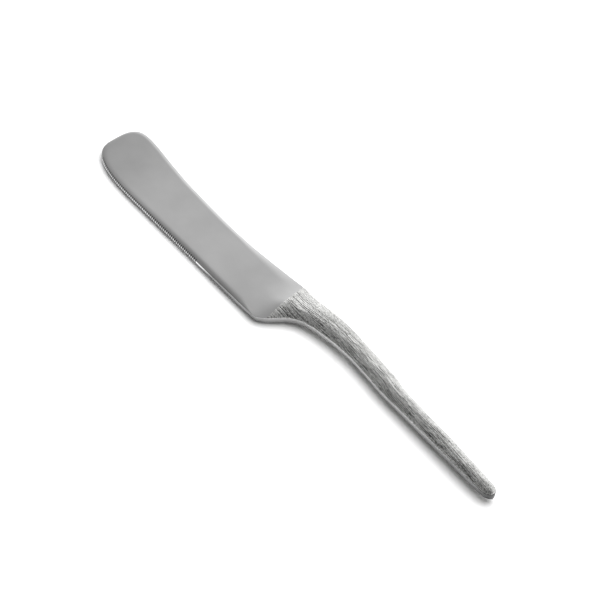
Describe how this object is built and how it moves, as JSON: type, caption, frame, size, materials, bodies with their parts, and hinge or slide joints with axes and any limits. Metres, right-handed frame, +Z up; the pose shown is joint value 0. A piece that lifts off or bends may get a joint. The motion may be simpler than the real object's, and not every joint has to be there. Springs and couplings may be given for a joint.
{
  "type": "butter knife",
  "caption": "Steel butter knife with a flat round-ended blade, a finely toothed edge and a slim twig-like handle with bark-grained scales on a full tang.",
  "frame": {"origin": "centre of the bounding box, on the surface that the knife lies on", "axes": "the knife lies flat on its side: +X from the tip of the blade to the butt, along the cutting edge; +Y from the cutting edge to the spine; +Z up"},
  "size_m": [0.203, 0.0224, 0.006],
  "materials": {
    "satin_steel": "stainless steel, satin polished",
    "chased_steel": "stainless steel, bark grain chased along the handle",
    "dowel_steel": "ground stainless dowel"
  },
  "bodies": {
    "root": {"blade": "satin_steel", "upper_scale": "chased_steel", "lower_scale": "chased_steel", "front_dowel": "dowel_steel", "middle_dowel": "dowel_steel", "rear_dowel": "dowel_steel"}
  },
  "joints": []
}
